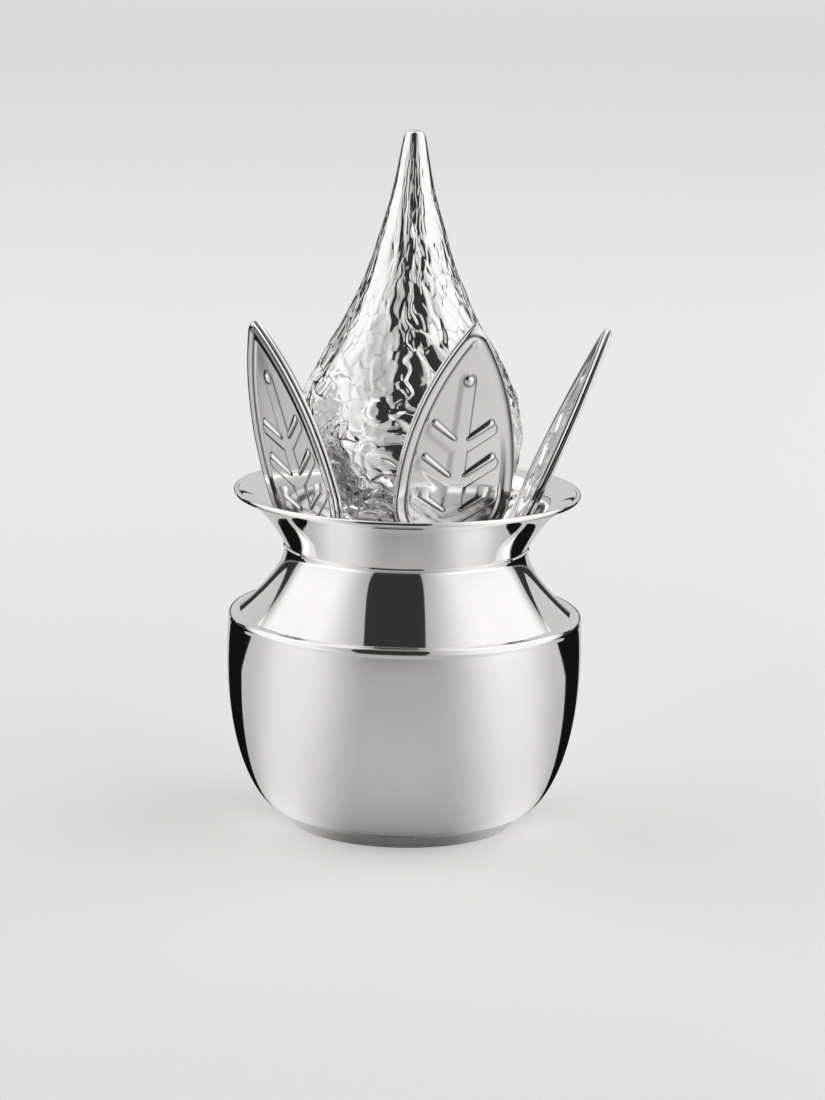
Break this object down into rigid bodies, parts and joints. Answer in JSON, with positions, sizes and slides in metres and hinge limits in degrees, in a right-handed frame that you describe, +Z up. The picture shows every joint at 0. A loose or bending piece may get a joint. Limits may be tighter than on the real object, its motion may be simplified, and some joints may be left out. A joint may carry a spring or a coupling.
{
  "type": "kalash with coconut",
  "caption": "Polished silver ritual water pot with flared neck, carrying a crown of pointed mango leaves and a pointed silver coconut; the coconut and the crown lift out.",
  "frame": {"origin": "centre of the flat underside of the foot, on the table", "axes": "+Z up along the pot's axis towards the coconut's tip; -Y is the front, +X is the viewer's right"},
  "size_m": [0.0815, 0.077, 0.15],
  "materials": {
    "polished_silver": "mirror-polished silver",
    "satin_silver": "satin silver, a little darker",
    "leaf_silver": "struck silver sheet with fine upright brushing",
    "husk_silver": "chased silver, bright on the ridges"
  },
  "bodies": {
    "pot": {"foot": "satin_silver", "bowl": "polished_silver", "shoulder": "polished_silver", "neck": "polished_silver"},
    "leaf_crown": {"crown_ring": "leaf_silver", "leaf_front_outer": "leaf_silver", "leaf_front_inner": "leaf_silver", "leaf_right_outer": "leaf_silver", "leaf_right_inner": "leaf_silver", "leaf_back_right_outer": "leaf_silver", "leaf_back_right_inner": "leaf_silver", "leaf_back_left_outer": "leaf_silver", "leaf_back_left_inner": "leaf_silver", "leaf_left_outer": "leaf_silver", "leaf_left_inner": "leaf_silver"},
    "coconut": {"coconut_shell": "husk_silver", "coconut_cap": "husk_silver"}
  },
  "joints": [
    {"name": "crown_lift", "type": "slide", "parent": "pot", "child": "leaf_crown", "axis": [0, 0, 1], "range_m": [0, 0.1]},
    {"name": "coconut_lift", "type": "slide", "parent": "leaf_crown", "child": "coconut", "axis": [0, 0, 1], "range_m": [0, 0.1]}
  ]
}
